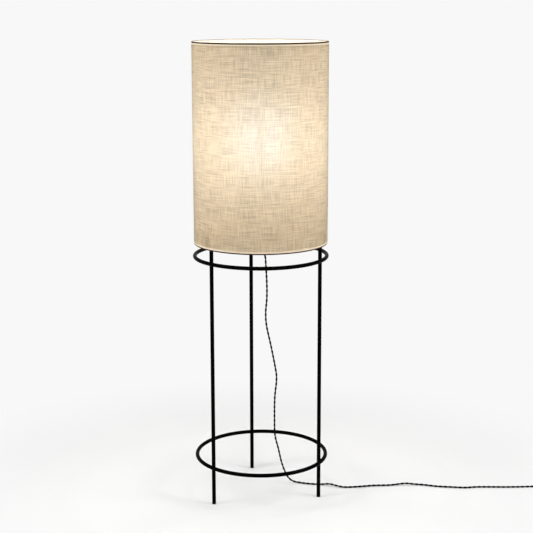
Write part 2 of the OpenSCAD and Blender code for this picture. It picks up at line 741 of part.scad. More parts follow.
module plug_body() color(black_plastic) difference() {
    intersection() {
        linear_extrude(plug_h) polygon([for (p = plug_outline) [plug_front_x, plug_y] + p]);
        translate([plug_front_x - cut, 0, 0]) rotate([90, 0, 90]) linear_extrude(plug_len + 2 * cut)
            round_rect([plug_y - plug_w / 2, 0], [plug_y + plug_w / 2, plug_h], 3.5);
    }
    for (side = [-1, 1]) translate([plug_front_x - cut, plug_y + side * pin_gap / 2, plug_z])
        rotate([0, 90, 0]) cylinder(d = pin_root_d + 2 * touch, h = pin_root_len + cut + touch, $fn = 32);
}
// Half outline of the body seen from above, and its mirror image
plug_neck_w = 14;
plug_half = [[0, plug_w / 2 - 2], [1, plug_w / 2], [plug_len * 0.4, plug_w / 2],
    [plug_len * 0.75, plug_w / 2 - 5], [plug_len - 1, plug_neck_w / 2 + 1], [plug_len, plug_neck_w / 2]];
plug_outline = concat(plug_half,
    [for (i = [1:len(plug_half)]) let (p = plug_half[len(plug_half) - i]) [p.x, -p.y]]);

module plug_pins() color(zinc) for (side = [-1, 1])
    translate([plug_front_x, plug_y + side * pin_gap / 2, plug_z]) rotate([0, -90, 0]) {
        translate([0, 0, -pin_root_len]) cylinder(d = pin_root_d, h = pin_root_len, $fn = 32);
        rotate_extrude($fn = mid) polygon(concat([[0, 0], [pin_d / 2, 0]],
            [for (b = [0:15:90]) [pin_d / 2 * cos(b), pin_len - pin_d / 2 + pin_d / 2 * sin(b)]]));
    }

module plug_sleeve() color(black_plastic) translate([plug_back_x, plug_y, plug_z]) rotate([0, 90, 0])
    difference() {
        rotate_extrude($fn = mid) polygon(concat([[0, 0], [sleeve_r(0), 0]],
            [for (k = [0:sleeve_ribs - 1]) each [
                [sleeve_r(k), (k + 0.1) * sleeve_rib], [sleeve_r(k), (k + 0.6) * sleeve_rib],
                [sleeve_r(k) - groove, (k + 0.7) * sleeve_rib],
                [sleeve_r(k) - groove, (k + 0.95) * sleeve_rib]]],
            [[sleeve_r(sleeve_ribs), sleeve_len], [0, sleeve_len]]));
        translate([0, 0, sleeve_len - entry_depth])
            cylinder(d = cord_bore, h = entry_depth + cut, $fn = mid);
    }
sleeve_ribs = 6;
sleeve_rib = sleeve_len / (sleeve_ribs + 0.2);
groove = 0.7;
function sleeve_r(k) = cord_d / 2 + 2.8 - 0.3 * k;

leg_left();
leg_right();
leg_rear();
upper_ring();
lower_ring();
ring_welds();
foot_left();
foot_right();
foot_rear();
arm_left();
arm_right();
arm_rear();
hub_plate();
stem();
lower_nipple();
upper_nipple();
lock_washer();
nipple_nuts();
cord_grip();
grip_screw();
inner_cord();
holder_cap();
holder_shell();
holder_core();
side_contact();
centre_contact();
terminals();
terminal_screws();
holder_leads();
bulb_glass();
bulb_cap();
bulb_insulator();
bulb_contact();
filament_mount();
led_filaments();
linen_cover();
shade_liner();
shade_top_ring();
shade_bottom_ring();
top_hem();
bottom_hem();
seat_brackets();
cord();
cord_coil();
coil_tie();
switch_base();
switch_cover();
switch_button();
switch_core();
switch_screws();
plug_body();
plug_pins();
plug_sleeve();
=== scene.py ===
"""Column floor lamp: materials, cloth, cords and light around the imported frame.

Metres, +Z up, front towards -Y.
"""

import math
import bpy
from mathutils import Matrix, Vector


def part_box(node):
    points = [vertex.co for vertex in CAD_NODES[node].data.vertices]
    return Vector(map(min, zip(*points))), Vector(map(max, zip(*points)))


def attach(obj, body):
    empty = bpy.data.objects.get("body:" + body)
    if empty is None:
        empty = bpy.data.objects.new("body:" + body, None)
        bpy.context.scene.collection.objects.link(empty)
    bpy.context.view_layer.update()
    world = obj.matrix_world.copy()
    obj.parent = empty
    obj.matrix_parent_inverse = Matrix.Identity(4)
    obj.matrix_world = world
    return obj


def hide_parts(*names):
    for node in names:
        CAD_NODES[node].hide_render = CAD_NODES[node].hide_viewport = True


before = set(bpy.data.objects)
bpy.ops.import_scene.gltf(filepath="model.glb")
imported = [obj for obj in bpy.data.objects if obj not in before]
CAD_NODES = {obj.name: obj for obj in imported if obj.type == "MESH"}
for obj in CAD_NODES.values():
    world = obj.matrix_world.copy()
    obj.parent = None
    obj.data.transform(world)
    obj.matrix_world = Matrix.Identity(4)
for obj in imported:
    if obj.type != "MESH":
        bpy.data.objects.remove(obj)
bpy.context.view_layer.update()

MM = 0.001
TURN = 2 * math.pi
TINY = 1e-9


# ---------------------------------------------------------------- camera

# The focal length is in pixels of the photograph, the place in metres and the angles in radians
IMAGE_PX = 533
FOCAL_PX = 1279.8
SENSOR_MM = 36.0
CAMERA_PLACE = Vector((0, -4.2347, 1.6876))
CAMERA_PITCH = 0.2072
CAMERA_YAW = 0.0045
CAMERA_ROLL = -0.0021


def make_camera():
    """The camera at the photograph's place, looking a little down and upright."""
    data = bpy.data.cameras.new("camera")
    data.sensor_width = SENSOR_MM
    data.lens = SENSOR_MM * FOCAL_PX / IMAGE_PX
    camera = bpy.data.objects.new("camera", data)
    bpy.context.scene.collection.objects.link(camera)
    ahead = Vector((
        math.sin(CAMERA_YAW) * math.cos(CAMERA_PITCH),
        math.cos(CAMERA_YAW) * math.cos(CAMERA_PITCH),
        -math.sin(CAMERA_PITCH),
    ))
    level = Vector((math.cos(CAMERA_YAW), -math.sin(CAMERA_YAW), 0))
    upright = level.cross(ahead)
    right = level * math.cos(CAMERA_ROLL) + upright * math.sin(CAMERA_ROLL)
    up = right.cross(ahead)
    place = camera.matrix_world.copy()
    for row in range(3):
        place[row][0], place[row][1], place[row][2] = right[row], up[row], -ahead[row]
        place[row][3] = CAMERA_PLACE[row]
    camera.matrix_world = place
    bpy.context.scene.camera = camera


# ---------------------------------------------------------------- meshes

def new_piece(name, vertices, faces, body, smooth=True):
    """A mesh piece that rides on a body."""
    mesh = bpy.data.meshes.new(name)
    mesh.from_pydata(vertices, [], faces)
    mesh.validate()
    if smooth:
        mesh.shade_smooth()
    else:
        mesh.shade_flat()
    piece = bpy.data.objects.new(name, mesh)
    bpy.context.scene.collection.objects.link(piece)
    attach(piece, body)
    return piece


def grid_faces(rows, columns, first=0):
    """Quads of a closed sleeve: rows of vertices, each row a ring of columns."""
    faces = []
    for i in range(rows - 1):
        for k in range(columns):
            low = first + i * columns + k
            low_next = first + i * columns + (k + 1) % columns
            faces.append((low, low_next, low_next + columns, low + columns))
    return faces


def closed_faces(rows, columns):
    """The same, with the last row joined to the first."""
    last = (rows - 1) * columns
    closing = [(last + k, last + (k + 1) % columns, (k + 1) % columns, k) for k in range(columns)]
    return grid_faces(rows, columns) + closing


def set_uv(piece, place_of):
    """Gives each face corner the UV that place_of returns for its face and its vertex."""
    layer = piece.data.uv_layers.new(name="UVMap")
    for face in piece.data.polygons:
        for corner in face.loop_indices:
            layer.data[corner].uv = place_of(face, piece.data.loops[corner].vertex_index)


# ---------------------------------------------------------------- paths

def between(a, b, c, d, t):
    """The point at share t from b to c on a smooth curve through a, b, c and d."""
    bend = a * 2 - b * 5 + c * 4 - d
    twist = b * 3 - a - c * 3 + d
    return (b * 2 + (c - a) * t + bend * t ** 2 + twist * t ** 3) / 2


def smooth_path(points, steps):
    """A smooth curve through the points, with a number of steps between two of them."""
    ends = [points[0] * 2 - points[1], *points, points[-1] * 2 - points[-2]]
    curve = []
    for i in range(len(points) - 1):
        for step in range(steps):
            curve.append(between(*ends[i:i + 4], step / steps))
    return curve + [points[-1]]


def even_path(points, gap):
    """The same curve with a point about every gap metres."""
    lengths = [0]
    for a, b in zip(points, points[1:]):
        lengths.append(lengths[-1] + (b - a).length)
    count = max(2, round(lengths[-1] / gap))
    path = []
    i = 0
    for k in range(count + 1):
        along = lengths[-1] * k / count
        while i < len(points) - 2 and lengths[i + 1] < along:
            i += 1
        share = (along - lengths[i]) / max(lengths[i + 1] - lengths[i], TINY)
        path.append(points[i].lerp(points[i + 1], share))
    return path


def sides_along(path, first):
    """A side vector for each point, square to the path and turning as little as it can."""
    sides = []
    side = first
    for i in range(len(path)):
        ahead = (path[min(i + 1, len(path) - 1)] - path[max(i - 1, 0)]).normalized()
        side = (side - ahead * side.dot(ahead)).normalized()
        sides.append((side, ahead.cross(side)))
    return sides


# ---------------------------------------------------------------- twisted cord

# The cord's stated diameter, what its two soft strands reach across, and the length of a full twist
CORD_D = 6.4 * MM
PAIR_D = 6.96 * MM
STRAND_R = 0.3 * PAIR_D
TWIST = 34 * MM
RING_GAP = 2.6 * MM
STRAND_SIDES = 10


def twisted_pair(name, path, body, first=Vector((0, 1, 0))):
    """Two soft round strands wound tightly round each other along a path, each closed at both ends."""
    off_centre = PAIR_D / 2 - STRAND_R
    sides = sides_along(path, first)
    vertices = []
    faces = []
    along_of = []
    for strand in (0, 1):
        start = len(vertices)
        along = 0
        for i, place in enumerate(path):
            along += (place - path[i - 1]).length if i else 0
            turned = TURN * (along / TWIST + strand / 2)
            side, other = sides[i]
            centre = place + (side * math.cos(turned) + other * math.sin(turned)) * off_centre
            for k in range(STRAND_SIDES):
                angle = turned + TURN * k / STRAND_SIDES
                outward = side * math.cos(angle) + other * math.sin(angle)
                vertices.append(centre + outward * STRAND_R)
                along_of.append(along)
        faces += grid_faces(len(path), STRAND_SIDES, start)
        faces.append(tuple(start + k for k in reversed(range(STRAND_SIDES))))
        faces.append(tuple(len(vertices) - STRAND_SIDES + k for k in range(STRAND_SIDES)))
    piece = new_piece(name, vertices, faces, body)

    def place_of(face, vertex):
        around = vertex % STRAND_SIDES
        if around == 0 and any(v % STRAND_SIDES == STRAND_SIDES - 1 for v in face.vertices):
            around = STRAND_SIDES
        return along_of[vertex], around / STRAND_SIDES

    set_uv(piece, place_of)
    return piece


# Points that the cord hangs and lies on, from the cord grip to the foot switch, in millimetres
CORD_ROUTE = (
    (0, 0, 886), (0, 0, 866), (14, 0, 834), (17, 1, 800), (20, 6, 739), (20, 9, 686),
    (16, 12, 634), (19, 15, 586), (34, 19, 514), (50, 24, 428), (53, 27, 389), (47, 30, 324),
    (46, 35, 244), (48, 38, 184), (60, 41, 132), (71, 45, 82), (83, 48, 46), (95, 50, 23),
    (111, 52, 9), (132, 51, 4), (170, 38, 3.8), (208, 33, 4), (240, 24, 8), (266, 12, 6),
    (292, 5, 3.8), (335, 8, 3.8), (395, 19, 3.8), (450, 22, 3.8), (482, 28, 5), (509, 27, 8),
    (538, 28, 5), (572, 24, 3.8), (615, 10, 3.8), (665, 2, 3.8), (715, -4, 3.8), (762, 2, 3.8),
    (860, 0, 3.8), (945, 3, 3.8), (975, 0, 7.6), (988, 0, 8),
)
ROUTE_STEPS = 12

# The loops beyond the foot switch: they spiral in on the floor, climb a layer and spiral out
COIL_TURNS = 4.5
TURN_STEPS = 40
LEAD_STEPS = 6
COIL_R = 44 * MM
COIL_X = 1108 * MM
COIL_PITCH = CORD_D + 0.7 * MM
COIL_LAYER = CORD_D + 0.6 * MM
COIL_Z = CORD_D / 2 + 1 * MM
ENTRY_DEPTH = 6 * MM
ENTRY_Z = 8 * MM


def coil_path():
    """The wound length, from the switch's far entry to the plug's sleeve."""
    sleeve_low, sleeve_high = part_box("plug_sleeve")
    mouth_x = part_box("switch_cover")[1].x
    plug_y = (sleeve_low.y + sleeve_high.y) / 2
    plug_z = (sleeve_low.z + sleeve_high.z) / 2
    half = COIL_TURNS / 2
    top_z = COIL_Z + COIL_LAYER
    lead_in = [
        Vector((mouth_x - ENTRY_DEPTH, 0, ENTRY_Z)),
        Vector((mouth_x + 2 * MM, 0, ENTRY_Z)),
        Vector((mouth_x + 12 * MM, 0, ENTRY_Z - 0.6 * MM)),
        Vector((mouth_x + 24 * MM, 0, ENTRY_Z - 2 * MM)),
        Vector((COIL_X - 14 * MM, 0, COIL_Z + 0.4 * MM)),
    ]
    loops = []
    for i in range(int(COIL_TURNS * TURN_STEPS) + 1):
        turns = i / TURN_STEPS
        radius = COIL_R - COIL_PITCH * (half - abs(turns - half))
        angle = TURN * turns - TURN / 4
        climb = min(max((turns - half) * 2 + 0.5, 0), 1)
        loops.append(Vector((
            COIL_X + radius * math.cos(angle),
            COIL_R + radius * math.sin(angle),
            COIL_Z + COIL_LAYER * climb * climb * (3 - 2 * climb),
        )))
    lead_out = [
        Vector((COIL_X - 7 * MM, plug_y, top_z - 1.2 * MM)),
        Vector((COIL_X - 14 * MM, plug_y, (top_z + plug_z) / 2)),
        Vector((COIL_X - 21 * MM, plug_y, plug_z + 0.5 * MM)),
        Vector((sleeve_high.x + CORD_D / 2, plug_y, plug_z)),
        Vector((sleeve_high.x - ENTRY_DEPTH, plug_y, plug_z)),
    ]
    whole = smooth_path(lead_in, LEAD_STEPS)[:-1] + loops + smooth_path(lead_out, LEAD_STEPS)
    return even_path(whole, RING_GAP)


def make_cords():
    """The free cord to the foot switch, the wound rest with its plug, and the piece inside the stem."""
    route = even_path(smooth_path([Vector(p) * MM for p in CORD_ROUTE], ROUTE_STEPS), RING_GAP)
    free = twisted_pair("twisted_cord", route, "stand")
    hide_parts("cord")
    wound = coil_path()
    coil = twisted_pair("twisted_coil", wound, "stand", Vector((0, 0, 1)))
    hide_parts("cord_coil")
    tie = make_tie()
    low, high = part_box("inner_cord")
    upright = even_path([Vector((0, 0, low.z)), Vector((0, 0, high.z))], RING_GAP)
    inner = twisted_pair("stem_cord", upright, "stand")
    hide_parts("inner_cord")
    textile = cord_textile()
    for piece in (free, coil, inner):
        piece.data.materials.append(textile)


# The tie's thickness, and the rounding of its outer corners
TIE_T = 0.8 * MM
TIE_CORNER = 4 * MM
CORNER_STEPS = 6


def make_tie():
    """A woven band round the wound loops, its end lapped over on top."""
    low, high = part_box("coil_tie")
    middle_x = (low.x + high.x) / 2
    middle_y = (low.y + high.y) / 2
    width = high.y - low.y
    top = high.z - TIE_T / 2
    radius = TIE_CORNER - TIE_T / 2
    left, right = low.x + TIE_CORNER, high.x - TIE_CORNER
    bottom, upper = low.z + TIE_CORNER, high.z - TIE_CORNER
    outline = [(middle_x + 3 * MM, top, 0, 1)]
    corners = ((left, upper, 1), (left, bottom, 2), (right, bottom, 3), (right, upper, 0))
    for x, z, quarter in corners:
        for k in range(CORNER_STEPS + 1):
            angle = TURN / 4 * (quarter + k / CORNER_STEPS)
            out_x, out_z = math.cos(angle), math.sin(angle)
            outline.append((x + radius * out_x, z + radius * out_z, out_x, out_z))
    lap = top + TIE_T + 0.1 * MM
    outline += [(middle_x + 6 * MM, top + 0.2 * MM, 0, 1), (middle_x + 4 * MM, lap, 0, 1),
                (middle_x - 5 * MM, lap, 0, 1)]
    across = ((-0.5, 0), (-0.46, 1), (0.46, 1), (0.5, 0), (0.46, -1), (-0.46, -1))
    vertices = []
    for x, z, out_x, out_z in outline:
        for share, side in across:
            lift = TIE_T / 2 * side
            vertices.append((x + out_x * lift, middle_y + width * share, z + out_z * lift))
    faces = grid_faces(len(outline), len(across))
    faces.append(tuple(reversed(range(len(across)))))
    faces.append(tuple(len(vertices) - len(across) + k for k in range(len(across))))
    tie = new_piece("cord_tie", vertices, faces, "stand", smooth=False)
    tie.data.materials.append(tape_weave("tie_tape", (0.03, 0.029, 0.028, 1), (0.012, 0.012, 0.012, 1)))
    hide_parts("coil_tie")
    return tie


# ---------------------------------------------------------------- shade

SHADE_SEGMENTS = 288
SHADE_ROWS = 96
LINER_T = 0.7 * MM
WAVE = 0.12 * MM
SEAM_W = 14 * MM
SEAM_LIFT = 0.4 * MM

# In shares of half the seam's width: its two close steps, where its lift ends, and where even columns start
SEAM_EDGES = (0.96, 1, 1.04)
SEAM_LIFT_END = 0.98
SEAM_REACH = 1.3


def shade_angles():
    """Angles round the shade from the middle of its seam, closer together at the seam's two edges."""
    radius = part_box("linen_cover")[1].x
    half = SEAM_W / 2 / radius
    angles = [half * share for share in (-0.6, 0, 0.6, *SEAM_EDGES, SEAM_REACH)]
    first, last = half * SEAM_REACH, TURN - half * SEAM_REACH
    angles += [first + (last - first) * (k + 1) / SHADE_SEGMENTS for k in range(SHADE_SEGMENTS)]
    angles += [TURN - half * share for share in SEAM_EDGES]
    return sorted(angles)


def unevenness(angle, share):
    """How far stiffened cloth stands off a true cylinder, in metres."""
    waves = math.sin(3 * angle + 1.1)
    waves += 0.6 * math.sin(7 * angle + 4 * share)
    waves += 0.4 * math.sin(11 * angle - 6 * share)
    return WAVE * waves * math.sin(math.pi * share)


def make_shade_cloth():
    """Linen laminated on a stiff white film: one closed sheet, linen outside and film inside."""
    low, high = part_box("linen_cover")
    inner_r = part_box("shade_liner")[1].x - LINER_T
    outer_r = high.x
    half = SEAM_W / 2 / outer_r
    angles = shade_angles()
    columns = len(angles)
    vertices = []
    rings = [(outer_r, k / SHADE_ROWS, True) for k in range(SHADE_ROWS + 1)]
    rings += [(inner_r, 1 - k / SHADE_ROWS, False) for k in range(SHADE_ROWS + 1)]
    for radius, share, outside in rings:
        for angle in angles:
            on_seam = outside and abs(angle) < half * SEAM_LIFT_END and 0 < share < 1
            lift = SEAM_LIFT if on_seam else 0
            r = radius + unevenness(angle, share) + lift
            turned = angle + TURN / 4
            vertices.append((r * math.cos(turned), r * math.sin(turned), low.z + (high.z - low.z) * share))
    faces = closed_faces(len(rings), columns)
    cloth = new_piece("laminated_linen", vertices, faces, "shade")
    cloth.data.materials.append(linen_weave())
    cloth.data.materials.append(white_film())
    for face in cloth.data.polygons:
        row = face.index // columns
        face.material_index = 1 if SHADE_ROWS < row <= 2 * SHADE_ROWS else 0
        face.use_smooth = row not in (SHADE_ROWS, 2 * SHADE_ROWS + 1)
    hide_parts("linen_cover", "shade_liner")
    return cloth, outer_r


# A hem's thickness, and the height and number of the soft swellings round it
HEM_T = 0.5 * MM
HEM_PUFF = 0.06 * MM
HEM_PUFFS = 61


def make_hem(node, name):
    """A narrow rolled edge of the cloth: a flattened bead with a soft outline."""
    low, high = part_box(node)
    base_r = high.x - HEM_T
    height = high.z - low.z
    profile = [
        (base_r - 0.1 * MM, 0.0), (base_r + 0.6 * HEM_T, 0.02), (base_r + HEM_T, 0.14),
        (base_r + 1.15 * HEM_T, 0.5), (base_r + HEM_T, 0.86), (base_r + 0.6 * HEM_T, 0.98),
        (base_r - 0.1 * MM, 1.0),
    ]
    vertices = []
    for base, share in profile:
        for k in range(SHADE_SEGMENTS):
            angle = TURN * k / SHADE_SEGMENTS
            r = base + HEM_PUFF * math.sin(HEM_PUFFS * angle) * math.sin(math.pi * share)
            vertices.append((r * math.cos(angle), r * math.sin(angle), low.z + height * share))
    faces = closed_faces(len(profile), SHADE_SEGMENTS)
    hem = new_piece(name, vertices, faces, "shade")
    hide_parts(node)
    return hem


# The edging tape: its gap to the wire, its thickness, how far it runs down, and its arc on the wire
TAPE_GAP = 0.05 * MM
TAPE_T = 0.4 * MM
TAPE_FALL = 9 * MM
TAPE_DEGREES = range(100, 251, 10)


def make_edging():
    """Pale edging tape that hides the top wire from inside and runs a little way down the film."""
    low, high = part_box("shade_top_ring")
    wire_r = (high.z - low.z) / 2
    ring_r = high.x - wire_r
    ring_z = high.z - wire_r
    foot_z = low.z - TAPE_FALL
    angles = [math.radians(angle) for angle in TAPE_DEGREES]
    shown, hidden = [
        [(ring_r + radius * math.cos(angle), ring_z + radius * math.sin(angle)) for angle in angles]
        for radius in (wire_r + TAPE_GAP + TAPE_T, wire_r + TAPE_GAP)
    ]
    shown.append((ring_r + TAPE_GAP, foot_z))
    hidden.append((ring_r + TAPE_GAP + TAPE_T, low.z - 2 * TAPE_GAP))
    hidden.append((ring_r + TAPE_GAP + TAPE_T, foot_z))
    profile = [*reversed(shown), *hidden]
    vertices = []
    for r, z in profile:
        for k in range(SHADE_SEGMENTS):
            angle = TURN * k / SHADE_SEGMENTS
            vertices.append((r * math.cos(angle), r * math.sin(angle), z))
    faces = [tuple(reversed(face)) for face in closed_faces(len(profile), SHADE_SEGMENTS)]
    edging = new_piece("top_edging", vertices, faces, "shade")
    edging.data.materials.append(edging_tape(low.z))
    return edging


def make_shade():
    """The sheet drawn tight round the shade, with its hems and its edging tape."""
    cloth, outer_r = make_shade_cloth()
    hems = [make_hem("top_hem", "rolled_top_hem"), make_hem("bottom_hem", "rolled_bottom_hem")]
    tape = hem_tape()
    for hem in hems:
        hem.data.materials.append(tape)
    make_edging()


# ---------------------------------------------------------------- materials

class Graph:
    """The nodes of a material or of the world in the making."""

    def __init__(self, owner):
        owner.use_nodes = True
        self.owner = owner
        self.tree = owner.node_tree
        self.tree.nodes.clear()

    def node(self, kind, inputs=None, **settings):
        """Adds a node and returns it. An input is the output of another node or a plain value."""
        made = self.tree.nodes.new(kind)
        for key, value in settings.items():
            setattr(made, key, value)
        for key, value in (inputs or {}).items():
            if isinstance(value, bpy.types.NodeSocket):
                self.tree.links.new(value, made.inputs[key])
            else:
                made.inputs[key].default_value = value
        return made

    def place(self):
        """Where a point is in the object's own frame."""
        return self.node("ShaderNodeTexCoord").outputs["Object"]

    def calc(self, operation, *values, clamp=False):
        """One step of arithmetic on one to three values."""
        made = self.node("ShaderNodeMath", dict(enumerate(values)), operation=operation, use_clamp=clamp)
        return made.outputs[0]

    def scaled(self, vector, scale):
        """A vector times another, axis by axis."""
        return self.node("ShaderNodeVectorMath", {0: vector, 1: scale}, operation="MULTIPLY").outputs[0]

    def joined(self, x, y, z=0.0):
        """A vector made of three values."""
        return self.node("ShaderNodeCombineXYZ", {0: x, 1: y, 2: z}).outputs[0]

    def noise(self, vector, scale=1.0, detail=2.0, roughness=0.5):
        """Soft random values from 0 to 1."""
        inputs = {"Vector": vector, "Scale": scale, "Detail": detail, "Roughness": roughness}
        return self.node("ShaderNodeTexNoise", inputs).outputs["Fac"]

    def waves(self, scale):
        """Wavy bands across the object, from 0 to 1."""
        inputs = {"Vector": self.place(), "Scale": scale, "Distortion": 1.5, "Detail": 1.0}
        return self.node("ShaderNodeTexWave", inputs).outputs["Fac"]

    def between(self, value, low, high, new_low=0.0, new_high=1.0, smooth=True):
        """The value taken from the range low to high to the new range, and held inside it."""
        inputs = {"Value": value, "From Min": low, "From Max": high, "To Min": new_low, "To Max": new_high}
        kind = "SMOOTHSTEP" if smooth else "LINEAR"
        return self.node("ShaderNodeMapRange", inputs, interpolation_type=kind).outputs["Result"]

    def mixed(self, share, a, b):
        """Colour a where the share is 0, colour b where it is 1."""
        return self.node("ShaderNodeMix", {0: share, 6: a, 7: b}, data_type="RGBA").outputs[2]

    def bump(self, height, distance, strength=1.0):
        """The normal of a relief."""
        inputs = {"Height": height, "Distance": distance, "Strength": strength}
        return self.node("ShaderNodeBump", inputs).outputs["Normal"]

    def principled(self, **inputs):
        """The Principled shader, with _ in the names of its inputs in place of each space."""
        named = {key.replace("_", " "): value for key, value in inputs.items()}
        return self.node("ShaderNodeBsdfPrincipled", named).outputs["BSDF"]

    def added(self, a, b):
        """The light of two shaders together."""
        return self.node("ShaderNodeAddShader", {0: a, 1: b}).outputs[0]

    def refracted(self, color):
        """Light that passes on through a thin sheet and spreads as it does."""
        inputs = {"Color": color, "Roughness": 1.0, "IOR": 1.4}
        return self.node("ShaderNodeBsdfRefraction", inputs).outputs[0]

    def done(self, shader):
        """Ends a material with its surface shader and returns it."""
        self.node("ShaderNodeOutputMaterial", {"Surface": shader})
        return self.owner


def material_graph(name):
    """The empty graph of a new material."""
    return Graph(bpy.data.materials.new(name))


# Linen in reflected light, and the share of the bulb's light that it and the film behind it let through
LINEN_LIGHT = (0.365, 0.262, 0.138, 1)
LINEN_DARK = (0.24, 0.158, 0.074, 1)
# The dark colour of the painted shade in the gaps between the yarns
LINEN_GAP_SHADE = (0.16, 0.106, 0.046, 1)
GLOW_THIN = (0.445, 0.372, 0.262, 1)
GLOW_THICK = (0.262, 0.194, 0.108, 1)
GLOW_SEAM = (0.15, 0.115, 0.075, 1)
FORWARD_THIN = (0.13, 0.195, 0.285, 1)
FORWARD_THICK = (0.127, 0.18, 0.24, 1)
FILM_LOW = (0.37, 0.37, 0.36, 1)
FILM_HIGH = (0.40, 0.40, 0.39, 1)
FILM_GLOW = (0.235, 0.22, 0.185, 1)
FORWARD_FILM = (0.20, 0.21, 0.23, 1)

# From yarn to yarn, upright ones and level ones
WARP_PITCH = 1.1 * MM
WEFT_PITCH = 1.3 * MM

# The distances across and along a yarn over which its wander changes, and the wander in pitches
DRIFT_ACROSS = 9 * MM
DRIFT_ALONG = 30 * MM
DRIFT = 2.6

# How far the uneven threads lean off straight, round the shade and upwards
SWAY_ARC = 9 * MM
SWAY_HEIGHT = -14 * MM

# How far to each side the seam's shadow fades
SEAM_BLUR = 0.2 * MM


def cloth_place(g, radius):
    """Distance round the shade from its front, and height, both in metres."""
    xyz = g.node("ShaderNodeSeparateXYZ", {0: g.place()})
    back = g.calc("MULTIPLY", xyz.outputs["Y"], -1.0)
    turned = g.calc("ARCTAN2", xyz.outputs["X"], back)
    return g.calc("MULTIPLY", turned, radius), xyz.outputs["Z"]


def yarns(g, across, along, pitch, seed):
    """Upright ridges of the yarns that lie side by side across, each wandering and swelling a little."""
    place = g.joined(g.calc("DIVIDE", across, DRIFT_ACROSS), g.calc("DIVIDE", along, DRIFT_ALONG), seed)
    drift = g.noise(place, detail=1.0)
    phase = g.calc("ADD", g.calc("DIVIDE", across, pitch), g.calc("MULTIPLY", drift, DRIFT))
    return g.calc("ABSOLUTE", g.calc("SINE", g.calc("MULTIPLY", phase, math.pi)))


def threads(g, across, along, thick, length, seed):
    """How uneven the threads that run along are: a value about 0, in long narrow strokes."""
    place = g.joined(g.calc("DIVIDE", across, thick), g.calc("DIVIDE", along, length), seed)
    return g.calc("SUBTRACT", g.noise(place, detail=1.0, roughness=0.6), 0.5)


def total(g, *shares):
    """The sum of fields, each taken times its own weight."""
    value = 0.0
    for weight, field in shares:
        value = g.calc("MULTIPLY_ADD", field, weight, value)
    return value


def linen_weave():
    """Natural linen, plain weave with slubs and painted shade in the gaps between its yarns, that light
    passes through.
    """
    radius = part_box("linen_cover")[1].x
    g = material_graph("linen_weave")
    arc, height = cloth_place(g, radius)
    sway = g.noise(g.joined(arc, height, 9.0), scale=5.0, detail=1.0)
    leaning_arc = g.calc("MULTIPLY_ADD", sway, SWAY_ARC, arc)
    leaning_height = g.calc("MULTIPLY_ADD", sway, SWAY_HEIGHT, height)
    warp = yarns(g, arc, height, WARP_PITCH, 2.0)
    weft = yarns(g, height, arc, WEFT_PITCH, 7.0)
    # Each field of threads: its weight, then how thick and how long its strokes are, and its seed
    uneven = total(
        g,
        (1.75, threads(g, leaning_height, arc, 3.1 * MM, 70 * MM, 1.0)),
        (1.6, threads(g, leaning_arc, height, 3.2 * MM, 52 * MM, 4.0)),
        (0.7, threads(g, leaning_height, arc, 5.5 * MM, 130 * MM, 12.0)),
        (0.5, threads(g, leaning_arc, height, 5.0 * MM, 150 * MM, 14.0)),
        (0.25, threads(g, height, arc, 28 * MM, 40 * MM, 17.0)),
    )
    slubs = total(
        g,
        (1.25, g.between(threads(g, leaning_height, arc, 3.4 * MM, 80 * MM, 11.0), 0.13, 0.24)),
        (0.45, g.between(threads(g, leaning_arc, height, 3.6 * MM, 50 * MM, 21.0), 0.15, 0.25)),
    )
    thick = g.calc("ADD", g.calc("ADD", uneven, 0.42), slubs, clamp=True)
    pores = g.between(g.calc("ADD", warp, weft), 0.5, 1.5)
    yarn = g.mixed(thick, LINEN_LIGHT, LINEN_DARK)
    # Painted shade: the gaps between the yarns are darkened a quarter of the way towards the gap colour
    yarn = g.mixed(g.between(pores, 0, 1, 0.25, 0.0, smooth=False), yarn, LINEN_GAP_SHADE)
    glow = g.mixed(thick, GLOW_THIN, GLOW_THICK)
    seam_edge = math.pi * radius - SEAM_W / 2
    seam = g.between(g.calc("ABSOLUTE", arc), seam_edge - SEAM_BLUR, seam_edge + SEAM_BLUR)
    glow = g.mixed(seam, glow, GLOW_SEAM)
    relief = total(g, (1.0, g.calc("MAXIMUM", warp, weft)), (0.8, thick))
    normal = g.bump(relief, 0.25 * MM, 0.6)
    face = g.principled(Base_Color=yarn, Roughness=0.88, Specular_IOR_Level=0.2, Sheen_Weight=0.05,
                        Sheen_Roughness=0.5, Normal=normal)
    diffused = g.node("ShaderNodeBsdfTranslucent", {"Color": glow}).outputs[0]
    straight = g.refracted(g.mixed(thick, FORWARD_THIN, FORWARD_THICK))
    glancing = g.node("ShaderNodeFresnel", {"IOR": 1.5}).outputs[0]
    through = g.node("ShaderNodeMixShader", {0: glancing, 1: g.added(diffused, straight)}).outputs[0]
    return g.done(g.added(face, through))


def white_film():
    """Stiff white film inside the shade, with a fine grain."""
    g = material_graph("white_film")
    grain = g.noise(g.place(), scale=900.0, detail=2.0)
    cloud = g.noise(g.place(), scale=14.0, detail=2.0)
    white = g.mixed(cloud, FILM_LOW, FILM_HIGH)
    normal = g.bump(grain, 0.05 * MM, 0.4)
    face = g.principled(Base_Color=white, Roughness=0.55, Specular_IOR_Level=0.4, Normal=normal)
    diffused = g.node("ShaderNodeBsdfTranslucent", {"Color": FILM_GLOW}).outputs[0]
    return g.done(g.added(face, g.added(diffused, g.refracted(FORWARD_FILM))))


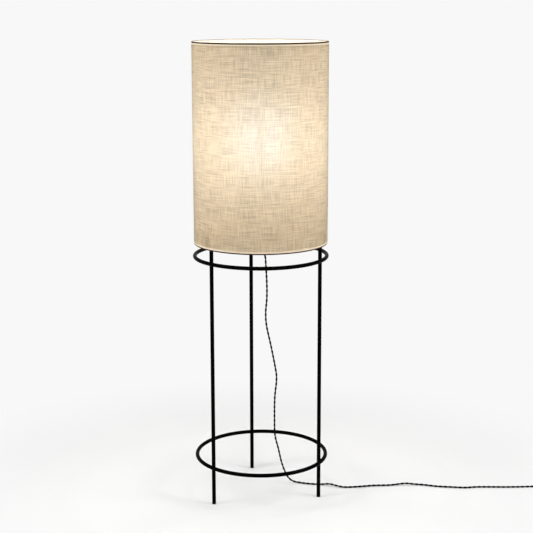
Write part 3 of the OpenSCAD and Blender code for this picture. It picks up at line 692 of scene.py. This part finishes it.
def hem_tape():
    """Pale edge of the cloth, rolled over the wire."""
    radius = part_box("top_hem")[1].x
    g = material_graph("hem_tape")
    arc, height = cloth_place(g, radius)
    warp = yarns(g, arc, height, 1.0 * MM, 5.0)
    weft = yarns(g, height, arc, 0.9 * MM, 8.0)
    cloud = g.noise(g.joined(arc, height, 6.0), scale=160.0, detail=2.0)
    pale = g.mixed(cloud, (0.80, 0.66, 0.48, 1), (0.92, 0.80, 0.62, 1))
    normal = g.bump(g.calc("MAXIMUM", warp, weft), 0.2 * MM, 0.6)
    return g.done(g.principled(Base_Color=pale, Roughness=0.85, Specular_IOR_Level=0.2, Sheen_Weight=0.1,
                               Normal=normal))


def tape_weave(name, light, dark):
    """A narrow woven tape."""
    g = material_graph(name)
    bands = g.waves(900.0)
    cloud = g.noise(g.place(), scale=400.0)
    color = g.mixed(g.calc("MULTIPLY", bands, cloud), dark, light)
    normal = g.bump(bands, 0.15 * MM, 0.7)
    return g.done(g.principled(Base_Color=color, Roughness=0.9, Specular_IOR_Level=0.2, Normal=normal))


def edging_tape(wire_foot):
    """Pale woven tape, with painted shade that makes it a little darker where it turns over the wire."""
    g = material_graph("edging_tape")
    height = g.node("ShaderNodeSeparateXYZ", {0: g.place()}).outputs["Z"]
    bands = g.waves(700.0)
    flat = g.mixed(bands, (0.66, 0.60, 0.52, 1), (0.74, 0.68, 0.60, 1))
    # Painted shade: a darker copy of the tape's colours for the part over the wire
    shaded_over_wire = g.mixed(bands, (0.46, 0.41, 0.34, 1), (0.54, 0.48, 0.41, 1))
    color = g.mixed(g.between(height, wire_foot + 0.5 * MM, wire_foot + 2.5 * MM), flat, shaded_over_wire)
    normal = g.bump(bands, 0.1 * MM, 0.5)
    return g.done(g.principled(Base_Color=color, Roughness=0.9, Specular_IOR_Level=0.2, Normal=normal))


# The braid's repeat along a strand, and its yarns round it
BRAID_PITCH = 2.4 * MM
BRAID_YARNS = 4


def cord_textile():
    """Black braided cotton on the cord's two strands."""
    g = material_graph("cord_textile")
    uv = g.node("ShaderNodeSeparateXYZ", {0: g.node("ShaderNodeUVMap", uv_map="UVMap").outputs["UV"]})
    along = g.calc("MULTIPLY", uv.outputs["X"], TURN / BRAID_PITCH)
    around = g.calc("MULTIPLY", uv.outputs["Y"], TURN * BRAID_YARNS)
    one = g.calc("SINE", g.calc("ADD", along, around))
    two = g.calc("SINE", g.calc("SUBTRACT", along, around))
    braid = g.calc("MAXIMUM", one, two)
    fuzz = g.noise(g.place(), scale=2600.0, detail=2.0)
    share = g.calc("MULTIPLY", g.between(braid, -0.4, 1.0), fuzz)
    color = g.mixed(share, (0.002, 0.002, 0.002, 1), (0.014, 0.013, 0.012, 1))
    normal = g.bump(g.calc("ADD", braid, fuzz), 0.12 * MM, 0.6)
    return g.done(g.principled(Base_Color=color, Roughness=0.95, Specular_IOR_Level=0.05, Sheen_Weight=0.02,
                               Normal=normal))


def coated(name, dark, light, rough, peel, level=0.3, coat=0.0):
    """Paint, rubber or moulded plastic: a cloudy tone, an uneven gloss and a fine relief."""
    g = material_graph(name)
    cloud = g.noise(g.place(), scale=38.0, detail=3.0)
    grain = g.noise(g.place(), scale=peel, detail=2.0)
    color = g.mixed(cloud, dark, light)
    gloss = g.between(grain, 0.3, 0.7, rough - 0.05, rough + 0.07, smooth=False)
    normal = g.bump(grain, 0.06 * MM, 0.35)
    return g.done(g.principled(Base_Color=color, Roughness=gloss, Specular_IOR_Level=level,
                               Coat_Weight=coat, Coat_Roughness=0.15, Normal=normal))


def bare_metal(name, dark, light, rough):
    """Plated or plain metal with fine drawing marks and a light tarnish."""
    g = material_graph(name)
    marks = g.noise(g.scaled(g.place(), (700.0, 700.0, 3000.0)), detail=2.0)
    tarnish = g.noise(g.place(), scale=120.0, detail=3.0)
    color = g.mixed(tarnish, dark, light)
    gloss = g.between(marks, 0.3, 0.7, rough - 0.08, rough + 0.1, smooth=False)
    normal = g.bump(marks, 0.02 * MM, 0.4)
    return g.done(g.principled(Base_Color=color, Metallic=1.0, Roughness=gloss, Normal=normal))


def glazed_ceramic():
    """Pale glazed ceramic with small dark specks."""
    g = material_graph("glazed_ceramic")
    specks = g.between(g.noise(g.place(), scale=1500.0, detail=1.0), 0.66, 0.72)
    color = g.mixed(specks, (0.82, 0.79, 0.73, 1), (0.5, 0.45, 0.38, 1))
    normal = g.bump(g.noise(g.place(), scale=160.0), 0.1 * MM, 0.3)
    return g.done(g.principled(Base_Color=color, Roughness=0.25, Coat_Weight=0.4, Coat_Roughness=0.08,
                               Normal=normal))


def glass(name, tint_a, tint_b, rough, transmission):
    """Glass of a slightly cloudy tint, clear or as good as black."""
    g = material_graph(name)
    cloud = g.noise(g.place(), scale=90.0)
    color = g.mixed(cloud, tint_a, tint_b)
    return g.done(g.principled(Base_Color=color, Roughness=rough, Transmission_Weight=transmission,
                               IOR=1.5))


# How far below the bulb's top its glow is even
CROWN_H = 40 * MM


def lit_opal():
    """Opal glass that glows from inside, a little dimmer at its neck."""
    low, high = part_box("bulb_glass")
    g = material_graph("lit_opal")
    height = g.node("ShaderNodeSeparateXYZ", {0: g.place()}).outputs["Z"]
    rise = g.between(height, low.z, high.z - CROWN_H, 0.35, 1.0)
    cloud = g.noise(g.place(), scale=60.0)
    white = g.mixed(cloud, (0.86, 0.83, 0.76, 1), (0.92, 0.9, 0.84, 1))
    glow = g.mixed(rise, (0.5, 0.32, 0.15, 1), (1.0, 0.88, 0.68, 1))
    opal = g.principled(Base_Color=white, Roughness=0.35, Emission_Color=glow, Emission_Strength=4.0)
    clear = g.node("ShaderNodeBsdfTransparent").outputs[0]
    shadow = g.node("ShaderNodeLightPath").outputs["Is Shadow Ray"]
    return g.done(g.node("ShaderNodeMixShader", {0: shadow, 1: opal, 2: clear}).outputs[0])


def filament():
    """Glowing beads on a thread."""
    g = material_graph("filament")
    beads = g.noise(g.scaled(g.place(), (200.0, 200.0, 900.0)))
    color = g.mixed(beads, (1.0, 0.7, 0.3, 1), (1.0, 0.85, 0.5, 1))
    return g.done(g.principled(Base_Color=color, Roughness=0.5, Emission_Color=color,
                               Emission_Strength=6.0))


def dress(material, *names):
    """Gives CAD nodes their finish."""
    for name in names:
        slots = CAD_NODES[name].data.materials
        slots.clear()
        slots.append(material)


def dress_frame():
    """The finish of every CAD node that is kept."""
    dress(coated("powder_coat", (0.0008, 0.0008, 0.0007, 1), (0.0018, 0.0017, 0.0015, 1), 0.24, 400.0,
                 level=0.005),
          "leg_left", "leg_right", "leg_rear", "upper_ring", "lower_ring", "ring_welds", "arm_left",
          "arm_right", "arm_rear", "hub_plate", "stem", "seat_brackets")
    dress(coated("wire_coat", (0.042, 0.02, 0.006, 1), (0.062, 0.031, 0.01, 1), 0.5, 900.0, level=0.02),
          "shade_top_ring", "shade_bottom_ring")
    dress(coated("foot_rubber", (0.006, 0.006, 0.006, 1), (0.012, 0.012, 0.012, 1), 0.75, 1400.0,
                 level=0.2),
          "foot_left", "foot_right", "foot_rear")
    dress(coated("moulded_plastic", (0.012, 0.012, 0.012, 1), (0.02, 0.02, 0.02, 1), 0.5, 2200.0),
          "cord_grip", "grip_screw", "holder_cap", "holder_shell", "switch_base", "switch_cover",
          "plug_body", "plug_sleeve")
    dress(coated("glossy_button", (0.014, 0.014, 0.014, 1), (0.022, 0.022, 0.022, 1), 0.2, 500.0,
                 level=0.5, coat=0.5),
          "switch_button")
    dress(coated("pale_plastic", (0.60, 0.55, 0.46, 1), (0.68, 0.62, 0.52, 1), 0.45, 1800.0),
          "holder_leads", "switch_core")
    dress(bare_metal("zinc_plate", (0.52, 0.53, 0.55, 1), (0.66, 0.67, 0.68, 1), 0.32),
          "lower_nipple", "upper_nipple", "lock_washer", "nipple_nuts", "terminal_screws", "switch_screws")
    dress(bare_metal("brass", (0.62, 0.44, 0.2, 1), (0.76, 0.58, 0.3, 1), 0.28),
          "side_contact", "centre_contact", "terminals", "bulb_contact")
    dress(bare_metal("nickel_plate", (0.6, 0.58, 0.54, 1), (0.74, 0.72, 0.68, 1), 0.18),
          "bulb_cap", "plug_pins")
    dress(glazed_ceramic(), "holder_core")
    dress(glass("vitrite", (0.02, 0.018, 0.022, 1), (0.035, 0.03, 0.035, 1), 0.1, 0.0), "bulb_insulator")
    dress(glass("stem_glass", (0.9, 0.93, 0.92, 1), (0.95, 0.97, 0.96, 1), 0.02, 0.9), "filament_mount")
    dress(lit_opal(), "bulb_glass")
    dress(filament(), "led_filaments")


# ---------------------------------------------------------------- stage and light

# The background's level where it is seen, and where it lights
PALE = 0.939
WORLD_LEVEL = 0.62

# The floor, and how far from the object its shadows are seen in full and not at all
FLOOR_HALF = 8.0
FLOOR_SHARE = 0.9
SHADOW_NEAR = 0.5
SHADOW_FAR = 1.4

# The soft boxes: their distance, how far they stand to each side of the front, and how high
BOX_POWER = 46.0
BOX_SIZE = 1.1
BOX_DISTANCE = 4.0
BOX_TURN = math.radians(68)
BOX_RISE = math.radians(42)

# The bulb's own light, a little smaller than its globe
BULB_POWER = 5.5
BULB_COLOR = (1.0, 0.98, 0.92)
BULB_INSET = 4 * MM


def seen_rays(g):
    """1 for what the camera sees straight, in a reflection or through glass."""
    path = g.node("ShaderNodeLightPath").outputs
    straight_or_reflected = g.calc("MAXIMUM", path["Is Camera Ray"], path["Is Glossy Ray"])
    return g.calc("MAXIMUM", straight_or_reflected, path["Is Transmission Ray"])


def make_floor():
    """A pale floor that shows the object's shadows near it and turns into the background further out."""
    g = material_graph("floor_paper")
    xyz = g.node("ShaderNodeSeparateXYZ", {0: g.place()}).outputs
    squares = g.calc("ADD", g.calc("POWER", xyz["X"], 2.0), g.calc("POWER", xyz["Y"], 2.0))
    away = g.calc("POWER", squares, 0.5)
    share = g.between(away, SHADOW_NEAR, SHADOW_FAR, FLOOR_SHARE, 0.0)
    tooth = g.noise(g.place(), scale=300.0, detail=2.0)
    tone = g.mixed(tooth, (0.905, 0.905, 0.905, 1), (0.925, 0.925, 0.925, 1))
    paper = g.node("ShaderNodeBsdfDiffuse", {"Color": tone}).outputs[0]
    pale = g.node("ShaderNodeEmission", {"Color": (PALE, PALE, PALE, 1)}).outputs[0]
    seen = g.node("ShaderNodeMixShader", {0: share, 1: pale, 2: paper}).outputs[0]
    shader = g.node("ShaderNodeMixShader", {0: seen_rays(g), 1: paper, 2: seen}).outputs[0]
    corners = [(x * FLOOR_HALF, y * FLOOR_HALF, 0) for x, y in ((-1, -1), (1, -1), (1, 1), (-1, 1))]
    mesh = bpy.data.meshes.new("floor")
    mesh.from_pydata(corners, [], [(0, 1, 2, 3)])
    floor = bpy.data.objects.new("floor", mesh)
    floor.data.materials.append(g.done(shader))
    bpy.context.scene.collection.objects.link(floor)


def make_world():
    """An even pale surround: one level where it is seen, another where it lights."""
    world = bpy.data.worlds.new("surround")
    bpy.context.scene.world = world
    g = Graph(world)
    seen = g.node("ShaderNodeBackground", {"Color": (PALE, PALE, PALE, 1)}).outputs[0]
    light = g.node("ShaderNodeBackground", {"Color": (1, 1, 1, 1), "Strength": WORLD_LEVEL}).outputs[0]
    both = g.node("ShaderNodeMixShader", {0: seen_rays(g), 1: light, 2: seen}).outputs[0]
    g.node("ShaderNodeOutputWorld", {"Surface": both})


def make_lamp(name, kind, power, place, color=(1, 1, 1)):
    """A light that no camera ray sees."""
    data = bpy.data.lights.new(name, kind)
    data.energy = power
    data.color = color
    lamp = bpy.data.objects.new(name, data)
    lamp.location = place
    lamp.visible_camera = False
    bpy.context.scene.collection.objects.link(lamp)
    return lamp


def make_lights():
    """Two soft boxes beside the camera's line, and the bulb's own light."""
    for side, name in ((-1, "soft_box_left"), (1, "soft_box_right")):
        back = Vector((
            side * math.sin(BOX_TURN) * math.cos(BOX_RISE),
            -math.cos(BOX_TURN) * math.cos(BOX_RISE),
            math.sin(BOX_RISE),
        ))
        box = make_lamp(name, "AREA", BOX_POWER, back * BOX_DISTANCE)
        box.data.shape = "SQUARE"
        box.data.size = BOX_SIZE
        box.rotation_mode = "QUATERNION"
        box.rotation_quaternion = (-back).to_track_quat("-Z", "Y")
    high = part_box("bulb_glass")[1]
    globe_r = high.x
    bulb = make_lamp("bulb_light", "POINT", BULB_POWER, (0, 0, high.z - globe_r), BULB_COLOR)
    bulb.data.shadow_soft_size = globe_r - BULB_INSET
    bulb.data.use_soft_falloff = False


# ---------------------------------------------------------------- the scene

make_camera()
make_cords()
make_shade()
dress_frame()
make_floor()
make_world()
make_lights()
bpy.context.scene.view_settings.view_transform = "Standard"
